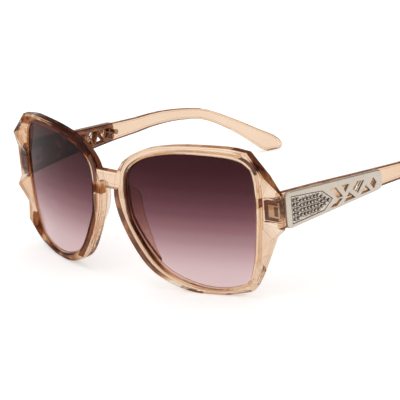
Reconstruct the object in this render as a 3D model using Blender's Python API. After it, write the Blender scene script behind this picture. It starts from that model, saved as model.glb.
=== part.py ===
"""Square butterfly sunglasses: moulded faceted front, gradient lenses and two folding openwork temples.

Metres, +Z up. The glasses stand open on both rims and both temple tips, the front faces -Y, the wearer's
left is +X, and the origin is under the middle of the box. One side is modelled and then mirrored.
"""
import math

import bmesh
import bpy
from mathutils import Matrix, Vector

MM = 0.001

# Front: lens openings, rims and the curve that they follow
LENS_GAP = 17.4 * MM            # between the two openings at the nose
OPENING_WIDTH = 51.3 * MM
OPENING_HEIGHT = 50.4 * MM
OPENING_FLOOR = 2.36 * MM       # lowest point of the opening above the table
RIM_WIDTH = 2.9 * MM            # face of the rim, widened or narrowed by the rim shares
FRONT_THICKNESS = 3.9 * MM
FRONT_RADIUS = 128.0 * MM       # wrap of the front round the face
BROW_RADIUS = 200.0 * MM        # curve of the front from brow to cheek
EDGE_CHAMFER = 0.5 * MM
CLEARANCE = 0.3 * MM            # between any two pieces that touch

# Lens groove and lens
GROOVE_SETBACK = 0.8 * MM       # front lip of the groove behind the rim's face
GROOVE_DEPTH = 1.0 * MM
LENS_THICKNESS = 1.8 * MM

# Faceted flare and end piece
END_REACH = 9.4 * MM            # end piece beyond the opening
END_HEIGHT = 12.8 * MM
END_WALL = 1.9 * MM             # thickness of the end piece at its outer corner
END_SETBACK = 0.7 * MM          # butt plane behind the curve of the front
FLARE_LIFT = 5.0 * MM           # how far the highest facet corner stands before the curve

# Bridge and nose pads
BRIDGE_HEIGHT = 7.4 * MM
BRIDGE_MID = 39.9 * MM          # height of the bridge's middle above the table
BRIDGE_INSET = 0.25 * MM        # bridge face behind the faces of the rims
BRIDGE_ROUND = 1.3 * MM
PAD_REACH = 5.8 * MM            # nose pad behind the back of the rim
PAD_ROOT = 2.6 * MM             # thickness of the pad where it leaves the rim
PAD_TIP = 1.5 * MM
PAD_SPLAY = 2.4 * MM            # how far the pads open towards their back edge

# Hinge
HINGE_INSET = 5.2 * MM          # hinge axis inboard of the end piece's outer wall
HINGE_SETBACK = 2.1 * MM        # hinge axis behind the butt plane
BARREL_RADIUS = 1.7 * MM
BARREL_BORE = 0.95 * MM
BARREL_HEIGHT = 1.95 * MM
LEAF_WIDTH = 5.8 * MM           # metal leaf set into the front
LEAF_SHIFT = 0.5 * MM           # its middle outboard of the axis
LEAF_THICKNESS = 1.1 * MM
LEAF_SINK = 0.3 * MM            # back of that leaf below the butt plane
NECK_WIDTH = 2.0 * MM
BOSS_WALL = 0.9 * MM            # plastic round the leaf's pocket
TEMPLE_LEAF_THICKNESS = 0.9 * MM
TEMPLE_LEAF_LENGTH = 9.6 * MM
SCREW_RADIUS = 0.6 * MM
SCREW_HEAD_RADIUS = 1.3 * MM
SCREW_HEAD_HEIGHT = 0.7 * MM

# Temple
TEMPLE_LENGTH = 141.0 * MM      # from its front end to the tip, measured straight back
TEMPLE_HEIGHT = 14.0 * MM       # at the hinge
TEMPLE_THICKNESS = 2.6 * MM
TEMPLE_ROUND = 0.8 * MM
TEMPLE_SPLAY = 0.05             # sideways for each unit back, the arms standing open
TIP_BOW = 16.8 * MM             # how far the tips curve in behind the ears from that line

# Metal plaque, its crystal panel and the pins that hold it
PLAQUE_LENGTH = 50.6 * MM
PLAQUE_SETBACK = 0.8 * MM       # front of the plaque behind the butt plane
PLAQUE_THICKNESS = 1.3 * MM
PLAQUE_PROUD = 0.2 * MM         # plaque's face outside the end piece's wall
PLAQUE_CHAMFER = 0.35 * MM
PLAQUE_CORNER = 2.2 * MM
POCKET_DEPTH = 0.8 * MM
BAR_THICKNESS = 0.5 * MM        # of the bars between the slits, relieved from the back
SLIT_CHAMFER = 0.08 * MM
PANEL_THICKNESS = 0.45 * MM
STONE_PITCH = 1.75 * MM
STONE_HEIGHT = 0.5 * MM
PIN_RADIUS = 0.6 * MM
PIN_HEAD_RADIUS = 1.1 * MM
PIN_HEAD_HEIGHT = 0.5 * MM
CUT_OVERRUN = 1.0 * MM

# Opening, from the nose over the brow to the temple and back: across, up, and rim width there
OPENING_SHARES = (
    (0.000, 0.700, 1.80), (0.018, 0.813, 1.36), (0.087, 0.891, 1.12), (0.223, 0.958, 1.04),
    (0.430, 0.996, 0.98), (0.654, 0.998, 1.06), (0.849, 0.978, 1.20), (0.945, 0.930, 1.20),
    (0.984, 0.859, 1.20), (1.000, 0.700, 1.20), (0.996, 0.540, 1.20), (0.984, 0.390, 1.20),
    (0.964, 0.264, 1.20), (0.940, 0.163, 1.20), (0.893, 0.062, 1.00), (0.742, 0.008, 0.86),
    (0.594, 0.000, 0.90), (0.445, 0.030, 1.12), (0.294, 0.097, 1.34), (0.195, 0.185, 1.62),
    (0.101, 0.329, 1.68), (0.026, 0.474, 1.62), (0.006, 0.609, 1.95),
)
LOOP_STEPS = 3
BROW_CORNER = 6                 # place in the list where the flare starts
CHEEK_CORNER = 15               # and where it ends

# Corners of the flare outside the opening: across, up, lift, thickness and the place where the facets end
FLARE_SHARES = {
    "brow": (0.975, 1.036, 0.36, 0.88, 6.67), "upper_peak": (1.119, 0.870, 0.91, 1.15, 9),
    "lower_peak": (1.152, 0.433, 0.78, 0.85, 11.67), "valley": (1.076, 0.296, 0.20, 0.75, 12.33),
    "cheek_peak": (1.041, 0.169, 0.56, 0.75, 13.67), "cheek": (0.968, 0.052, 0.25, 0.75, 14.33),
    "chin": (0.912, -0.004, 0.10, 0.90, 15),
}
END_CORNERS = ((0.5, 9.67), (-0.5, 10.0))   # end piece: up from the hinge, and where its facets end
HINGE_UP_SHARE = 0.607          # hinge height as a share of the opening's height

# Nose pad from top to bottom: height up the opening, reach behind the rim
PAD_SHARES = (
    (0.700, 0.30), (0.665, 0.72), (0.620, 0.95), (0.550, 1.00), (0.460, 0.94), (0.370, 0.80), (0.280, 0.58),
    (0.200, 0.32), (0.140, 0.06),
)

# Temple: along its length, lower edge as a share of its height at the hinge, depth, thickness, bow
TEMPLE_SHARES = (
    (0.000, 1.000, 0.985, 1.00, 0.000), (0.129, 1.010, 0.840, 1.00, 0.000), (0.203, 1.026, 0.728, 1.00, 0.000),
    (0.278, 1.036, 0.624, 1.00, 0.000), (0.363, 1.036, 0.532, 1.00, 0.000), (0.455, 1.018, 0.468, 1.00, 0.000),
    (0.512, 1.020, 0.429, 1.00, 0.006), (0.561, 1.006, 0.407, 1.00, 0.012), (0.604, 0.983, 0.382, 1.00, 0.024),
    (0.646, 0.950, 0.364, 1.00, 0.042), (0.689, 0.906, 0.352, 1.00, 0.072), (0.732, 0.846, 0.350, 1.00, 0.120),
    (0.767, 0.763, 0.362, 1.00, 0.175), (0.802, 0.651, 0.386, 1.00, 0.260), (0.838, 0.520, 0.412, 1.02, 0.365),
    (0.870, 0.378, 0.479, 1.04, 0.475), (0.902, 0.220, 0.557, 1.07, 0.600), (0.930, 0.077, 0.629, 1.10, 0.715),
    (0.951, 0.000, 0.643, 1.10, 0.800), (0.973, 0.000, 0.500, 1.04, 0.890), (0.989, 0.000, 0.350, 0.80, 0.955),
    (1.000, 0.035, 0.130, 0.25, 1.000),
)

# Plaque windows and panel: along the plaque, and up from its lower to its upper edge
PANEL_SHARES = ((0.045, 0.10), (0.372, 0.12), (0.466, 0.40), (0.360, 0.78), (0.045, 0.87))
WINDOW_SHARES = (
    ((0.447, 0.74), (0.509, 0.73), (0.572, 0.34), (0.512, 0.37)),
    ((0.512, 0.30), (0.572, 0.26), (0.511, 0.09), (0.442, 0.12)),
    ((0.568, 0.74), (0.644, 0.72), (0.603, 0.46)),
    ((0.586, 0.11), (0.702, 0.11), (0.640, 0.40)),
    ((0.764, 0.13), (0.868, 0.14), (0.820, 0.44)),
    ((0.872, 0.44), (0.905, 0.70), (0.938, 0.44), (0.905, 0.17)),
)
BARRED_SHARES = ((0.675, 0.48), (0.733, 0.24), (0.806, 0.70), (0.728, 0.73))
BARRED_SLITS = 3
SLIT_SHARE = 0.70               # of the distance from one slit to the next

# Lattice of the arm behind the plaque: bays of triangles and then two slots, along and up the plaque
TRUSS_START_SHARE = 0.494
TRUSS_END_SHARE = 0.925
TRUSS_BAYS = 5
TRUSS_EDGE_SHARE = 0.13
TRUSS_OPEN_SHARE = 0.76
SLOT_SPAN_SHARES = (0.914, 0.944)
SLOT_HEIGHT_SHARES = ((0.20, 0.44), (0.56, 0.80))
PIN_SHARES = ((0.135, 0.50), (0.976, 0.50))

# Shares of the piece that carries them, and counts
PAD_SIDE_SHARE = 0.88           # where the pad's flat sides end and its round tip starts
BRIDGE_ROOT_SHARE = 0.7         # how far into the rim's face the bridge's ends reach
BRIDGE_STATIONS = 7
BOSS_SLOPE_SHARE = 0.4          # boss's outer front corner behind the pocket's floor, of its wall
LENS_RING_SHARES = (1.0, 0.72, 0.4)
SCREW_CROWN_SHARES = (0.75, 0.6)    # radius and height where the head's crown starts
PIN_CROWN_SHARE = 0.7
STONE_SHARES = ((0.46, 0.0), (0.42, 0.45), (0.24, 1.0))    # radius of the pitch, rise of the height
CHAMFER_LIMIT_SHARE = 0.25      # widest chamfer on a thin edge
ROUND_LIMIT_SHARE = 0.45        # largest corner radius of a side
MITRE_LIMIT = 0.3               # least cosine at a mitred corner
ROUND_SIDES = 16
STONE_SIDES = 8
SHARP_DEGREES = 30.0
STONE_SHARP_DEGREES = 10.0

# Places that follow from the sizes
NOSE_EDGE = LENS_GAP / 2
CURVE_MID = OPENING_FLOOR + OPENING_HEIGHT / 2
END_X = NOSE_EDGE + OPENING_WIDTH + END_REACH
HINGE_Z = OPENING_FLOOR + OPENING_HEIGHT * HINGE_UP_SHARE
BACK_MARGIN = FRONT_THICKNESS - EDGE_CHAMFER
GROOVE_WIDTH = LENS_THICKNESS + 2 * CLEARANCE


def curve_depth(x, z):
    """Distance of the front's curved face behind its foremost point."""
    return x * x / (2 * FRONT_RADIUS) + (z - CURVE_MID) ** 2 / (2 * BROW_RADIUS)


BUTT_Y = curve_depth(END_X, HINGE_Z) + END_SETBACK
HINGE_X = END_X - HINGE_INSET
HINGE_Y = BUTT_Y + HINGE_SETBACK
LEAF_INNER = HINGE_X + LEAF_SHIFT - LEAF_WIDTH / 2
LEAF_OUTER = LEAF_INNER + LEAF_WIDTH
LEAF_BACK = BUTT_Y - LEAF_SINK
LEAF_FRONT = LEAF_BACK - LEAF_THICKNESS
KNUCKLE_PITCH = BARREL_HEIGHT + CLEARANCE
HINGE_TOP = HINGE_Z + KNUCKLE_PITCH + BARREL_HEIGHT / 2
HINGE_BOTTOM = HINGE_Z - KNUCKLE_PITCH - BARREL_HEIGHT / 2
TEMPLE_FRONT = BUTT_Y + CLEARANCE
PLAQUE_FACE = END_X + PLAQUE_PROUD
PLAQUE_BACK = PLAQUE_FACE - PLAQUE_THICKNESS
TEMPLE_OUTER = PLAQUE_BACK - CLEARANCE
TEMPLE_INNER = TEMPLE_OUTER - TEMPLE_THICKNESS
TEMPLE_LOW = HINGE_Z - TEMPLE_HEIGHT / 2
PLAQUE_FRONT = TEMPLE_FRONT + PLAQUE_SETBACK


# Helpers for meshes

def clear_scene():
    for item in list(bpy.data.objects):
        bpy.data.objects.remove(item, do_unlink=True)


def smooth_points(points, steps, closed=True):
    """Points on a smooth curve through the given ones, which stay on it."""
    count = len(points)
    spans = count if closed else count - 1
    result = []
    for i in range(spans):
        if closed:
            four = [points[(i + k) % count] for k in (-1, 0, 1, 2)]
        else:
            four = [points[min(max(i + k, 0), count - 1)] for k in (-1, 0, 1, 2)]
        for step in range(steps):
            t = step / steps
            result.append(tuple(
                0.5 * (2 * b + (c - a) * t + (2 * a - 5 * b + 4 * c - d) * t * t
                       + (3 * b - a - 3 * c + d) * t ** 3)
                for a, b, c, d in zip(*four)))
    if not closed:
        result.append(tuple(points[-1]))
    return result


def outward_normals(loop):
    """Unit normals of a closed loop that runs clockwise, pointing out of it."""
    normals = []
    for i, _ in enumerate(loop):
        before, after = loop[i - 1], loop[(i + 1) % len(loop)]
        along = Vector((after[0] - before[0], after[1] - before[1])).normalized()
        normals.append(Vector((-along.y, along.x)))
    return normals


def material(name, colour, roughness, metallic=0.0, transmission=0.0):
    made = bpy.data.materials.new(name)
    made.use_nodes = True
    shader = made.node_tree.nodes["Principled BSDF"]
    shader.inputs["Base Color"].default_value = (*colour, 1.0)
    shader.inputs["Roughness"].default_value = roughness
    shader.inputs["Metallic"].default_value = metallic
    shader.inputs["Transmission Weight"].default_value = transmission
    made.diffuse_color = (*colour, 1.0)
    return made


def new_object(name, bm, finish=None, sharp_degrees=SHARP_DEGREES):
    """Turn the edit mesh into a named object with outward faces."""
    bmesh.ops.recalc_face_normals(bm, faces=bm.faces)
    mesh = bpy.data.meshes.new(name)
    bm.to_mesh(mesh)
    bm.free()
    made = bpy.data.objects.new(name, mesh)
    bpy.context.scene.collection.objects.link(made)
    return finished(made, finish, sharp_degrees)


def strip(bm, row_a, row_b, closed=True):
    """Quads between two rows of the same length."""
    count = len(row_a)
    for i in range(count if closed else count - 1):
        j = (i + 1) % count
        bm.faces.new((row_a[i], row_a[j], row_b[j], row_b[i]))


def add_loft(bm, rings, capped=True):
    """Skin through rings of points with the same count."""
    rows = [[bm.verts.new(point) for point in ring] for ring in rings]
    for row_a, row_b in zip(rows, rows[1:]):
        strip(bm, row_a, row_b)
    if capped:
        bm.faces.new(rows[0])
        bm.faces.new(rows[-1])
    return rows


def loft_object(name, rings, finish=None):
    bm = bmesh.new()
    add_loft(bm, rings)
    return new_object(name, bm, finish)


def box_object(name, low, high):
    corners = ((low[0], low[1]), (high[0], low[1]), (high[0], high[1]), (low[0], high[1]))
    return loft_object(name, [[(x, y, z) for x, y in corners] for z in (low[2], high[2])])


def ring_points(centre, radius, axis, offset, sides=ROUND_SIDES):
    """Circle round an axis (0 for X, 2 for Z) through the centre, moved along it by the offset."""
    points = []
    for i in range(sides):
        angle = math.tau * (i + 0.5) / sides
        across, up = radius * math.cos(angle), radius * math.sin(angle)
        shift = (offset, across, up) if axis == 0 else (across, up, offset)
        points.append(tuple(c + s for c, s in zip(centre, shift)))
    return points


def turned_object(name, centre, axis, profile, finish=None, sides=ROUND_SIDES):
    """Solid of revolution from (radius, offset along the axis) pairs."""
    return loft_object(name, [ring_points(centre, r, axis, off, sides) for r, off in profile], finish)


def combine(target, other, operation):
    """Boolean of the two objects, kept in the target."""
    modifier = target.modifiers.new("combine", "BOOLEAN")
    modifier.operation = operation
    modifier.object = other
    bpy.context.view_layer.update()
    evaluated = target.evaluated_get(bpy.context.evaluated_depsgraph_get())
    mesh = bpy.data.meshes.new_from_object(evaluated)
    old = target.data
    target.modifiers.clear()
    target.data = mesh
    bpy.data.meshes.remove(old)
    bpy.data.objects.remove(other, do_unlink=True)
    return target


def finished(item, finish, sharp_degrees=SHARP_DEGREES):
    """Give a piece its one material and its smooth shading with sharp edges."""
    item.data.materials.clear()
    if finish is not None:
        item.data.materials.append(finish)
    item.data.shade_smooth()
    item.data.set_sharp_from_angle(angle=math.radians(sharp_degrees))
    return item


def mirrored(source, name, finish, sharp_degrees=SHARP_DEGREES):
    """Copy on the other side of the glasses."""
    bm = bmesh.new()
    bm.from_mesh(source.data)
    bmesh.ops.scale(bm, vec=(-1.0, 1.0, 1.0), verts=bm.verts)
    bmesh.ops.reverse_faces(bm, faces=bm.faces)
    return new_object(name, bm, finish, sharp_degrees)


def rounded_rectangle(low, high, radius, steps=3):
    """Corner-rounded rectangle in the plane of its two coordinates."""
    radius = min([radius] + [ROUND_LIMIT_SHARE * (b - a) for a, b in zip(low, high)])
    corners = ((high[0] - radius, high[1] - radius, 0), (low[0] + radius, high[1] - radius, 1),
               (low[0] + radius, low[1] + radius, 2), (high[0] - radius, low[1] + radius, 3))
    points = []
    for across, up, quarter in corners:
        for step in range(steps):
            angle = math.pi / 2 * (quarter + step / (steps - 1))
            points.append((across + radius * math.cos(angle), up + radius * math.sin(angle)))
    return points


def rounded_polygon(points, radius, steps=3):
    """Polygon with each corner rounded by an arc-like curve that starts the radius before it."""
    result = []
    for i, point in enumerate(points):
        corner = Vector(point)
        before, after = Vector(points[i - 1]), Vector(points[(i + 1) % len(points)])
        start = corner + (before - corner).normalized() * radius
        end = corner + (after - corner).normalized() * radius
        for step in range(steps):
            t = step / (steps - 1)
            result.append(tuple(start * (1 - t) ** 2 + corner * 2 * t * (1 - t) + end * t * t))
    return result


def shrunk(points, distance):
    """Polygon moved inwards by the distance, or outwards when it is negative."""
    area = sum(a[0] * b[1] - b[0] * a[1] for a, b in zip(points, points[1:] + points[:1]))
    turn = 1.0 if area > 0 else -1.0
    result = []
    for i, point in enumerate(points):
        here = Vector(point)
        into = (here - Vector(points[i - 1])).normalized()
        out = (Vector(points[(i + 1) % len(points)]) - here).normalized()
        normal_in = Vector((-into.y, into.x)) * turn
        normal_out = Vector((-out.y, out.x)) * turn
        middle = (normal_in + normal_out).normalized()
        result.append(tuple(here + middle * distance / max(middle.dot(normal_in), MITRE_LIMIT)))
    return result


def fill_between(bm, loops):
    """Flat face bounded by the first loop, with the others as holes."""
    edges = []
    for loop in loops:
        for a, b in zip(loop, loop[1:] + loop[:1]):
            edges.append(bm.edges.get((a, b)) or bm.edges.new((a, b)))
    bmesh.ops.triangle_fill(bm, edges=edges, use_beauty=True, use_dissolve=False)


# Front frame

def opening_points():
    """Edge of the opening as (x, z, rim width)."""
    controls = [(NOSE_EDGE + across * OPENING_WIDTH, OPENING_FLOOR + up * OPENING_HEIGHT, width * RIM_WIDTH)
                for across, up, width in OPENING_SHARES]
    return smooth_points(controls, LOOP_STEPS)


def offset_loop(loop, distance):
    normals = outward_normals(loop)
    return [(p[0] + n.x * distance, p[1] + n.y * distance) for p, n in zip(loop, normals)]


def outline_points(opening):
    """Outer corners of the rim: x, z, front depth, back depth and the opening place its facets end at."""
    normals = outward_normals(opening)
    count = len(opening)
    first = CHEEK_CORNER * LOOP_STEPS
    last = count + BROW_CORNER * LOOP_STEPS
    outline = []
    for place in range(first, last + 1):
        x, z, width = opening[place % count]
        normal = normals[place % count]
        x, z = x + normal.x * width, max(z + normal.y * width, 0.0)
        depth = curve_depth(x, z)
        outline.append((x, z, depth, depth + FRONT_THICKNESS, place + 1))
    for name, (across, up, lift, thick, place) in FLARE_SHARES.items():
        x, z = NOSE_EDGE + across * OPENING_WIDTH, OPENING_FLOOR + up * OPENING_HEIGHT
        depth = curve_depth(x, z) - lift * FLARE_LIFT
        outline.append((x, z, depth, depth + FRONT_THICKNESS * thick, count + round(place * LOOP_STEPS)))
        if name == "upper_peak":
            for side, end_place in END_CORNERS:
                outline.append((END_X, HINGE_Z + side * END_HEIGHT, BUTT_Y - END_WALL, BUTT_Y,
                                count + round(end_place * LOOP_STEPS)))
    return outline


def facet_rows(bm, outer, inner, outline, count, first):
    """Triangles from the outer row to the inner row, in the fans that the outline gives."""
    place = first
    for i, vertex in enumerate(outer):
        until = outline[i][4]
        while place < until:
            bm.faces.new((vertex, inner[place % count], inner[(place + 1) % count]))
            place += 1
        bm.faces.new((vertex, inner[place % count], outer[(i + 1) % len(outer)]))


def rim(name):
    """One rim with its lens groove and faceted flare."""
    opening = opening_points()
    outline = outline_points(opening)
    count = len(opening)
    first = CHEEK_CORNER * LOOP_STEPS
    edge = offset_loop(opening, EDGE_CHAMFER)
    groove = offset_loop(opening, GROOVE_DEPTH)
    groove_front = GROOVE_SETBACK
    groove_back = GROOVE_SETBACK + GROOVE_WIDTH
    bm = bmesh.new()

    def inner_row(loop, depth):
        return [bm.verts.new((x, curve_depth(x, z) + depth, z)) for x, z in loop]

    plain = [(x, z) for x, z, _ in opening]
    inner = [inner_row(edge, 0.0), inner_row(plain, EDGE_CHAMFER), inner_row(plain, groove_front),
             inner_row(groove, groove_front), inner_row(groove, groove_back), inner_row(plain, groove_back),
             inner_row(plain, BACK_MARGIN), inner_row(edge, FRONT_THICKNESS)]
    outer = [[], [], [], []]
    start = first
    for x, z, front, back, until in outline:
        middle = opening[((start + until) // 2) % count]
        inwards = Vector((middle[0] - x, middle[1] - z)).normalized() * EDGE_CHAMFER
        start = until
        wall = min(EDGE_CHAMFER, CHAMFER_LIMIT_SHARE * (back - front))
        outer[0].append(bm.verts.new((x + inwards.x, front, z + inwards.y)))
        outer[1].append(bm.verts.new((x, front + wall, z)))
        outer[2].append(bm.verts.new((x, back - wall, z)))
        outer[3].append(bm.verts.new((x + inwards.x, back, z + inwards.y)))
    for row_a, row_b in list(zip(inner, inner[1:])) + list(zip(outer, outer[1:])):
        strip(bm, row_a, row_b)
    facet_rows(bm, outer[0], inner[0], outline, count, first)
    facet_rows(bm, outer[3], inner[-1], outline, count, first)
    return new_object(name, bm)


def nose_pad(name, opening):
    """Fin that carries the glasses on the nose, moulded on the back of the rim."""
    rings = []
    nose_side = opening[CHEEK_CORNER * LOOP_STEPS:] + opening[:LOOP_STEPS]
    for up, reach in smooth_points(PAD_SHARES, 2, closed=False):
        z = OPENING_FLOOR + up * OPENING_HEIGHT
        x, _, width = min(nose_side, key=lambda p: abs(p[1] - z))
        root_x = x - width / 2
        root_y = curve_depth(root_x, z) + (GROOVE_SETBACK + GROOVE_WIDTH + FRONT_THICKNESS) / 2
        tip_y = curve_depth(root_x, z) + FRONT_THICKNESS + PAD_REACH * reach
        tip_x = root_x + PAD_SPLAY * reach
        side_y = root_y + (tip_y - root_y) * PAD_SIDE_SHARE
        half_root, half_tip = PAD_ROOT / 2, PAD_TIP / 2
        rings.append([(root_x - half_root, root_y, z), (root_x + half_root, root_y, z),
                      (tip_x + half_tip, side_y, z), (tip_x + half_tip / 2, tip_y, z),
                      (tip_x - half_tip / 2, tip_y, z), (tip_x - half_tip, side_y, z)])
    return loft_object(name, rings)


def bridge(name):
    rings = []
    half = NOSE_EDGE - RIM_WIDTH * BRIDGE_ROOT_SHARE
    for station in range(BRIDGE_STATIONS):
        x = half * (2 * station / (BRIDGE_STATIONS - 1) - 1)
        front = curve_depth(x, BRIDGE_MID) + BRIDGE_INSET
        back = front + FRONT_THICKNESS - 2 * BRIDGE_INSET
        section = rounded_rectangle((front, BRIDGE_MID - BRIDGE_HEIGHT / 2),
                                    (back, BRIDGE_MID + BRIDGE_HEIGHT / 2), BRIDGE_ROUND)
        rings.append([(x, y, z) for y, z in section])
    return loft_object(name, rings)


def hinge_boss(name):
    """Block behind the end piece that takes the metal leaf."""
    inner_x = LEAF_INNER - CLEARANCE - BOSS_WALL
    outer_x = LEAF_OUTER + CLEARANCE + BOSS_WALL
    groove_back = curve_depth(inner_x, HINGE_Z) + GROOVE_SETBACK + GROOVE_WIDTH
    pocket_floor = LEAF_FRONT - CLEARANCE
    low = HINGE_BOTTOM - CLEARANCE - BOSS_WALL
    high = HINGE_TOP + CLEARANCE + BOSS_WALL
    plan = ((inner_x, groove_back + CLEARANCE), (outer_x, pocket_floor + BOSS_SLOPE_SHARE * BOSS_WALL),
            (outer_x, BUTT_Y), (inner_x, BUTT_Y))
    return loft_object(name, [[(x, y, z) for x, y in plan] for z in (low, high)])


def leaf_pocket(name):
    """Pocket for the metal leaf, cut from the back."""
    return box_object(name, (LEAF_INNER - CLEARANCE, LEAF_FRONT - CLEARANCE, HINGE_BOTTOM - CLEARANCE),
                      (LEAF_OUTER + CLEARANCE, BUTT_Y + CUT_OVERRUN, HINGE_TOP + CLEARANCE))


def front_frame(finish):
    half = rim("half_front")
    combine(half, nose_pad("pad", opening_points()), "UNION")
    combine(half, hinge_boss("boss"), "UNION")
    combine(half, leaf_pocket("pocket"), "DIFFERENCE")
    other = mirrored(half, "other_half", finish)
    combine(half, bridge("bridge"), "UNION")
    combine(half, other, "UNION")
    half.name = "front_frame"
    return finished(half, finish)


def lens(name, finish):
    """Curved lens whose edge sits in the groove."""
    opening = [(x, z) for x, z, _ in opening_points()]
    edge = offset_loop(opening, GROOVE_DEPTH - CLEARANCE)
    middle = (sum(p[0] for p in edge) / len(edge), sum(p[1] for p in edge) / len(edge))
    bm = bmesh.new()
    sides = []
    for depth in (GROOVE_SETBACK + CLEARANCE, GROOVE_SETBACK + CLEARANCE + LENS_THICKNESS):
        rows = []
        for share in LENS_RING_SHARES:
            points = [(middle[0] + (x - middle[0]) * share, middle[1] + (z - middle[1]) * share)
                      for x, z in edge]
            rows.append([bm.verts.new((x, curve_depth(x, z) + depth, z)) for x, z in points])
        centre = bm.verts.new((middle[0], curve_depth(*middle) + depth, middle[1]))
        for row_a, row_b in zip(rows, rows[1:]):
            strip(bm, row_a, row_b)
        for a, b in zip(rows[-1], rows[-1][1:] + rows[-1][:1]):
            bm.faces.new((a, b, centre))
        sides.append(rows[0])
    strip(bm, sides[0], sides[1])
    return new_object(name, bm, finish)


# Hinge

def knuckle(name, level):
    """Barrel of the hinge at the given level: -1, 0 or 1."""
    middle = HINGE_Z + level * KNUCKLE_PITCH
    half = BARREL_HEIGHT / 2
    profile = ((BARREL_RADIUS, -half), (BARREL_RADIUS, half))
    return turned_object(name, (HINGE_X, HINGE_Y, middle), 2, profile)


def bore_cutter(name):
    profile = ((BARREL_BORE, HINGE_BOTTOM - CUT_OVERRUN), (BARREL_BORE, HINGE_TOP + CUT_OVERRUN))
    return turned_object(name, (HINGE_X, HINGE_Y, 0.0), 2, profile)


def front_leaf(name, finish):
    """Metal leaf in the front's pocket with the outer two barrels."""
    leaf = box_object(name, (LEAF_INNER, LEAF_FRONT, HINGE_BOTTOM), (LEAF_OUTER, LEAF_BACK, HINGE_TOP))
    for level in (-1, 1):
        low_z = HINGE_Z + level * KNUCKLE_PITCH - BARREL_HEIGHT / 2
        neck = box_object("neck", (HINGE_X - NECK_WIDTH / 2, (LEAF_FRONT + LEAF_BACK) / 2, low_z),
                          (HINGE_X + NECK_WIDTH / 2, HINGE_Y, low_z + BARREL_HEIGHT))
        combine(leaf, neck, "UNION")
        combine(leaf, knuckle("barrel", level), "UNION")
    combine(leaf, bore_cutter("bore"), "DIFFERENCE")
    return finished(leaf, finish)


def temple_leaf(name, finish):
    """Metal leaf on the inner face of the temple with the middle barrel."""
    outer_x = TEMPLE_INNER - CLEARANCE
    inner_x = outer_x - TEMPLE_LEAF_THICKNESS
    plate_start = HINGE_Y + BARREL_RADIUS + 2 * CLEARANCE
    plate_end = HINGE_Y + TEMPLE_LEAF_LENGTH
    low, high = HINGE_BOTTOM + CLEARANCE, HINGE_TOP - CLEARANCE
    half = BARREL_HEIGHT / 2
    outline = ((HINGE_Y, HINGE_Z - half), (plate_start, HINGE_Z - half), (plate_start, low), (plate_end, low),
               (plate_end, high), (plate_start, high), (plate_start, HINGE_Z + half), (HINGE_Y, HINGE_Z + half))
    leaf = knuckle(name, 0)
    combine(leaf, splayed(side_prism("plate", outline, inner_x, outer_x)), "UNION")
    combine(leaf, bore_cutter("bore"), "DIFFERENCE")
    hole = pin_hole("hole", PIN_SHARES[0], inner_x - CUT_OVERRUN, outer_x + CUT_OVERRUN)
    combine(leaf, splayed(hole), "DIFFERENCE")
    return finished(leaf, finish)


def hinge_screw(name, finish):
    head = HINGE_TOP + CLEARANCE
    crown_radius, crown_height = SCREW_CROWN_SHARES
    profile = ((SCREW_RADIUS, HINGE_BOTTOM), (SCREW_RADIUS, head), (SCREW_HEAD_RADIUS, head),
               (SCREW_HEAD_RADIUS, head + SCREW_HEAD_HEIGHT * crown_height),
               (SCREW_HEAD_RADIUS * crown_radius, head + SCREW_HEAD_HEIGHT))
    return turned_object(name, (HINGE_X, HINGE_Y, 0.0), 2, profile, finish)


# Temple

def temple_section(share):
    """Lower edge, upper edge, inner and outer face of the temple at a share of its length."""
    for start, end in zip(TEMPLE_SHARES, TEMPLE_SHARES[1:]):
        if share <= end[0]:
            break
    t = (share - start[0]) / (end[0] - start[0])
    low, depth, thick, bow = (a + (b - a) * t for a, b in zip(start[1:], end[1:]))
    bottom = TEMPLE_LOW * low
    middle = (TEMPLE_INNER + TEMPLE_OUTER) / 2 - TIP_BOW * bow
    half = TEMPLE_THICKNESS * thick / 2
    return bottom, bottom + TEMPLE_HEIGHT * depth, middle - half, middle + half


def on_plaque(along, up):
    """Place on the side of the temple as (y, z) from shares along and up the plaque."""
    y = PLAQUE_FRONT + along * PLAQUE_LENGTH
    bottom, top, _, _ = temple_section((y - TEMPLE_FRONT) / TEMPLE_LENGTH)
    return y, bottom + up * (top - bottom)


def splayed(item):
    """Lean the item outwards with the open temple: sideways in proportion to the distance back."""
    for vertex in item.data.vertices:
        vertex.co.x += (vertex.co.y - TEMPLE_FRONT) * TEMPLE_SPLAY
    return item


def side_prism(name, outline, low_x, high_x):
    return loft_object(name, [[(x, y, z) for y, z in outline] for x in (low_x, high_x)])


def pin_hole(name, place, low_x, high_x):
    y, z = on_plaque(*place)
    radius = PIN_RADIUS + CLEARANCE
    return turned_object(name, (0.0, y, z), 0, ((radius, low_x), (radius, high_x)))


def truss_windows():
    """Triangular windows of the lattice behind the plaque, pointing up and down in turn."""
    pitch = (TRUSS_END_SHARE - TRUSS_START_SHARE) / (TRUSS_BAYS + 1)
    windows = []
    for bay in range(TRUSS_BAYS):
        base, tip = TRUSS_EDGE_SHARE, 1 - TRUSS_EDGE_SHARE
        if bay % 2 == 0:
            base, tip = tip, base
        start = TRUSS_START_SHARE + bay * pitch
        corners = ((start, base), (start + 2 * pitch, base), (start + pitch, tip))
        middle = tuple(sum(c[k] for c in corners) / 3 for k in (0, 1))
        windows.append([tuple(m + (c - m) * TRUSS_OPEN_SHARE for c, m in zip(corner, middle))
                        for corner in corners])
    return windows


def arm_slots():
    """Two slots at the rear end of the lattice, one over the other."""
    start, end = SLOT_SPAN_SHARES
    return [((start, low), (end, low), (end, high), (start, high)) for low, high in SLOT_HEIGHT_SHARES]


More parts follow.
